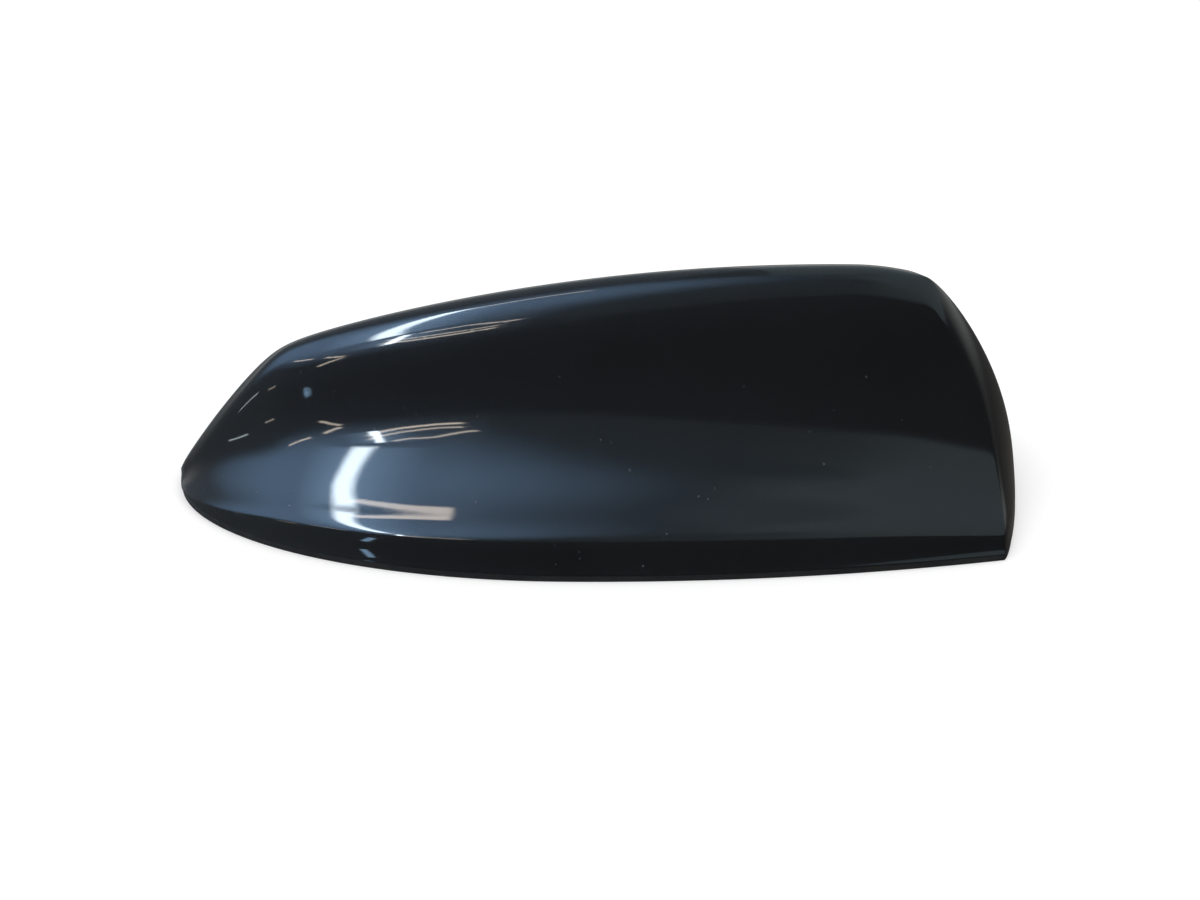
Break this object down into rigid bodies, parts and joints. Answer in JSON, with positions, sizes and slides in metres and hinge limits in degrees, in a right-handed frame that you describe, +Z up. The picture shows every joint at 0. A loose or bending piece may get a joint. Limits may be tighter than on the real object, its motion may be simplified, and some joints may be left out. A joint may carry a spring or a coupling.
{
  "type": "shark fin aerial",
  "caption": "Shark fin roof aerial: gloss black cover over a cast base with board, radiating elements and coax sockets.",
  "frame": {"origin": "axis of the roof stud on the roof's surface, which is the underside of the gasket", "axes": "+X towards the tail, +Y to the aerial's right seen from the nose end, +Z up, away from the roof"},
  "size_m": [0.1648, 0.0656, 0.072],
  "materials": {
    "cover_paint": "gloss black lacquer on a moulded plastic shell",
    "seal_rubber": "soft black seal cord",
    "gasket_rubber": "matt black moulded rubber",
    "cast_alloy": "die-cast alloy with a fine grainy skin",
    "zinc_plate": "zinc-plated steel with a rolled thread",
    "vent_cloth": "white felted membrane",
    "board_laminate": "green solder resist on glass laminate",
    "pad_tape": "cream sticky pad",
    "patch_ceramic": "fired ceramic, tan and matt",
    "silver_print": "printed silver, slightly grainy",
    "gold_plate": "thin gold plate",
    "tin_plate": "tinned steel sheet",
    "carrier_plastic": "fine-textured dark grey plastic",
    "copper_wire": "enamelled copper wire",
    "foam": "open dark grey foam",
    "element_sheet": "stamped nickel-brass sheet",
    "socket_black": "black moulded plastic",
    "socket_blue": "blue moulded plastic",
    "socket_purple": "purple-red moulded plastic",
    "insulator": "white insulator, smooth and waxy"
  },
  "bodies": {
    "root": {"cover": "cover_paint", "cover_seal": "seal_rubber", "roof_gasket": "gasket_rubber", "base_plate": "cast_alloy", "roof_stud": "zinc_plate", "cover_screws": "zinc_plate", "board_screws": "zinc_plate", "vent_membrane": "vent_cloth", "main_board": "board_laminate", "patch_pad": "pad_tape", "patch_ceramic": "patch_ceramic", "patch_silver": "silver_print", "patch_pin": "gold_plate", "shield_can": "tin_plate", "element_carrier": "carrier_plastic", "broadcast_coil": "copper_wire", "top_plate": "tin_plate", "foam_pad": "foam", "front_element": "element_sheet", "rear_element": "element_sheet", "contact_clips": "gold_plate", "coax_socket_1": "socket_black", "coax_socket_2": "socket_blue", "coax_socket_3": "socket_purple", "socket_sleeves": "gold_plate", "socket_insulators": "insulator", "socket_contacts": "gold_plate"}
  },
  "joints": []
}
